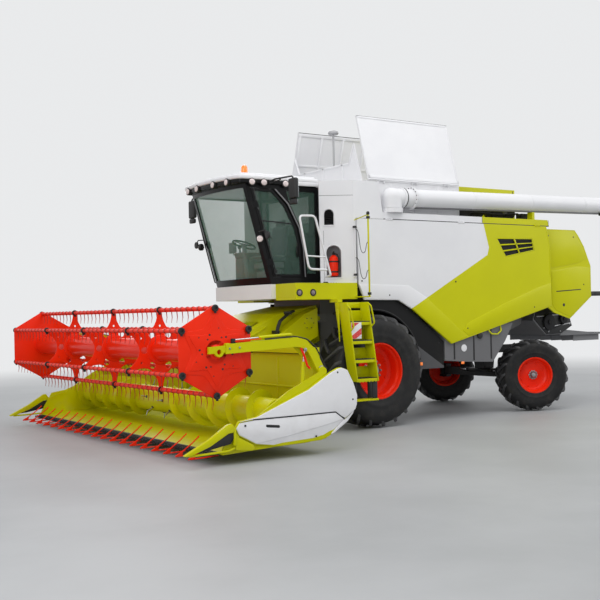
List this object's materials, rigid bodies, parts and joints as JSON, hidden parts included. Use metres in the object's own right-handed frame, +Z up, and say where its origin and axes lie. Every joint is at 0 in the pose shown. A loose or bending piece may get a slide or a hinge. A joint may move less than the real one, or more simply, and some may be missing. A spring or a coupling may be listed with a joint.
{
  "type": "combine harvester",
  "caption": "Self-propelled combine harvester with a grain header, bat reel, driver's cab, open grain tank covers, folded unloading tube, side ladder and straw chopper.",
  "frame": {"origin": "floor point under the middle of the machine's overall length, on its centre plane", "axes": "+X to the rear, +Y to the machine's right, +Z up"},
  "size_m": [10.54, 6.76, 5.1006],
  "materials": {
    "lime_paint": "satin",
    "white_paint": "satin",
    "red_paint": "satin",
    "grey_paint": "satin",
    "dark_frame": "satin",
    "bright_steel": "brushed",
    "rod_chrome": "polished",
    "black_plastic": "matte",
    "lamp_plastic": "gloss",
    "tyre_rubber": "matte",
    "tinted_glass": "clear",
    "seat_fabric": "woven",
    "cord_rubber": "matte",
    "engine_iron": "cast"
  },
  "bodies": {
    "machine": {"threshing_body": "grey_paint", "chassis_frame": "dark_frame", "front_axle": "dark_frame", "rear_axle": "dark_frame", "grain_tank": "white_paint", "side_decks": "white_paint", "service_tower": "white_paint", "tank_front_flap": "white_paint", "fire_extinguisher": "red_paint", "cab_shell": "dark_frame", "cab_glass": "tinted_glass", "cab_base": "lime_paint", "cab_roof": "white_paint", "cab_interior": "seat_fabric", "platform": "lime_paint", "handrails": "white_paint", "lower_side_covers": "grey_paint", "rear_hood": "lime_paint", "straw_chopper": "grey_paint", "engine": "engine_iron", "engine_hood": "lime_paint", "lamps": "lamp_plastic", "satellite_mast": "bright_steel", "mirrors": "black_plastic", "tube_supports": "white_paint", "cord_upper": "cord_rubber", "cord_lower": "cord_rubber"},
    "front_left_wheel": {"front_left_tyre": "tyre_rubber", "front_left_rim": "red_paint"},
    "front_right_wheel": {"front_right_tyre": "tyre_rubber", "front_right_rim": "red_paint"},
    "rear_left_steer": {"rear_left_knuckle": "dark_frame"},
    "rear_right_steer": {"rear_right_knuckle": "dark_frame"},
    "rear_left_wheel": {"rear_left_tyre": "tyre_rubber", "rear_left_rim": "red_paint"},
    "rear_right_wheel": {"rear_right_tyre": "tyre_rubber", "rear_right_rim": "red_paint"},
    "left_tank_lid": {"tank_lid_left": "white_paint"},
    "right_tank_lid": {"tank_lid_right": "white_paint"},
    "left_side_door": {"side_door_left": "white_paint"},
    "right_side_door": {"side_door_right": "white_paint"},
    "driver_door": {"cab_door": "dark_frame", "cab_door_glass": "tinted_glass"},
    "swing_ladder": {"ladder": "lime_paint"},
    "rear_door": {"tail_door": "lime_paint"},
    "unloading_auger": {"unloading_tube": "white_paint", "unloading_spout": "black_plastic"},
    "header": {"feeder_house": "lime_paint", "feeder_guard": "lime_paint", "header_table": "lime_paint", "header_ends": "white_paint", "cutter_bar": "red_paint"},
    "table_auger": {"intake_auger": "lime_paint"},
    "lift_cylinder": {"lift_barrels": "lime_paint"},
    "lift_plunger": {"lift_rods": "rod_chrome"},
    "reel_frame": {"reel_arms": "lime_paint"},
    "reel_carriage": {"reel_sliders": "lime_paint"},
    "reel_drum": {"reel": "red_paint"},
    "reel_cylinder": {"reel_lift_barrels": "lime_paint"},
    "reel_plunger": {"reel_lift_rods": "rod_chrome"}
  },
  "joints": [
    {"name": "front_left_wheel_spin", "type": "hinge", "parent": "machine", "child": "front_left_wheel", "pos_m": [-0.87, -1.28, 0.905], "axis": [0, 1, 0], "continuous": true},
    {"name": "front_right_wheel_spin", "type": "hinge", "parent": "machine", "child": "front_right_wheel", "pos_m": [-0.87, 1.28, 0.905], "axis": [0, 1, 0], "continuous": true},
    {"name": "rear_left_steering", "type": "hinge", "parent": "machine", "child": "rear_left_steer", "pos_m": [2.88, -1.16, 0.645], "axis": [0, 0, 1], "range_deg": [-18, 72]},
    {"name": "rear_right_steering", "type": "hinge", "parent": "machine", "child": "rear_right_steer", "pos_m": [2.88, 1.16, 0.645], "axis": [0, 0, 1], "range_deg": [-18, 72]},
    {"name": "rear_left_wheel_spin", "type": "hinge", "parent": "rear_left_steer", "child": "rear_left_wheel", "pos_m": [2.82552, -1.26692, 0.645], "axis": [0.454, 0.891, 0], "continuous": true},
    {"name": "rear_right_wheel_spin", "type": "hinge", "parent": "rear_right_steer", "child": "rear_right_wheel", "pos_m": [2.93448, 1.26692, 0.645], "axis": [0.454, 0.891, 0], "continuous": true},
    {"name": "left_tank_lid_fold", "type": "hinge", "parent": "machine", "child": "left_tank_lid", "pos_m": [0.26, -1.15, 4.005], "axis": [-1, 0, 0], "range_deg": [0, 74]},
    {"name": "right_tank_lid_fold", "type": "hinge", "parent": "machine", "child": "right_tank_lid", "pos_m": [0.26, 1.15, 4.005], "axis": [1, 0, 0], "range_deg": [0, 74]},
    {"name": "left_side_door_lift", "type": "hinge", "parent": "machine", "child": "left_side_door", "pos_m": [1.03, -1.45, 3.33], "axis": [-1, 0, 0], "range_deg": [0, 80]},
    {"name": "right_side_door_lift", "type": "hinge", "parent": "machine", "child": "right_side_door", "pos_m": [1.03, 1.45, 3.33], "axis": [1, 0, 0], "range_deg": [0, 80]},
    {"name": "driver_door_swing", "type": "hinge", "parent": "machine", "child": "driver_door", "pos_m": [-2.47, -0.885, 2.42], "axis": [0.2731, 0, -0.962], "range_deg": [0, 75]},
    {"name": "ladder_swing", "type": "hinge", "parent": "machine", "child": "swing_ladder", "pos_m": [-1.67, -1.56, 1.955], "axis": [0, 0, -1], "range_deg": [0, 90]},
    {"name": "rear_door_lift", "type": "hinge", "parent": "machine", "child": "rear_door", "pos_m": [4.06, 0, 3.275], "axis": [0, -1, 0], "range_deg": [0, 60]},
    {"name": "unloading_auger_swing", "type": "hinge", "parent": "machine", "child": "unloading_auger", "pos_m": [-0.4, -1.35, 3.527], "axis": [0, 0, -1], "range_deg": [0, 95]},
    {"name": "header_lift", "type": "hinge", "parent": "machine", "child": "header", "pos_m": [-1.49, 0, 1.76], "axis": [0, 1, 0], "range_deg": [-1, 18]},
    {"name": "lift_cylinder_tilt", "type": "hinge", "parent": "machine", "child": "lift_cylinder", "pos_m": [-1.06, 0, 0.82], "axis": [0, 1, 0], "range_deg": [-0.62, 10.9]},
    {"name": "lift_plunger_stroke", "type": "slide", "parent": "lift_cylinder", "child": "lift_plunger", "axis": [-0.9978, 0, 0.0657], "range_m": [-0.0155, 0.271]},
    {"name": "table_auger_spin", "type": "hinge", "parent": "header", "child": "table_auger", "pos_m": [-3.87, 0, 0.56], "axis": [0, 1, 0], "continuous": true},
    {"name": "reel_lift", "type": "hinge", "parent": "header", "child": "reel_frame", "pos_m": [-3.2, 0, 1.12], "axis": [0, 1, 0], "range_deg": [-6, 22]},
    {"name": "reel_cylinder_tilt", "type": "hinge", "parent": "header", "child": "reel_cylinder", "pos_m": [-3.49, 0, 0.85], "axis": [0, 1, 0], "range_deg": [-2.8, 10]},
    {"name": "reel_plunger_stroke", "type": "slide", "parent": "reel_cylinder", "child": "reel_plunger", "axis": [0.0854, 0, 0.9963], "range_m": [-0.0265, 0.0955]},
    {"name": "reel_fore_aft", "type": "slide", "parent": "reel_frame", "child": "reel_carriage", "axis": [-0.9987, 0, -0.0506], "range_m": [0, 0.3]},
    {"name": "reel_spin", "type": "hinge", "parent": "reel_carriage", "child": "reel_drum", "pos_m": [-4.71, 0, 1.39], "axis": [0, 1, 0], "continuous": true}
  ],
  "couplings": [
    {"joint": "rear_right_steering", "follows": "rear_left_steering", "ratio": 1},
    {"joint": "lift_cylinder_tilt", "follows": "header_lift", "ratio": 0.6004},
    {"joint": "lift_plunger_stroke", "follows": "header_lift", "m_per_rad": 0.8606},
    {"joint": "reel_cylinder_tilt", "follows": "reel_lift", "ratio": 0.4487},
    {"joint": "reel_plunger_stroke", "follows": "reel_lift", "m_per_rad": 0.2464}
  ]
}
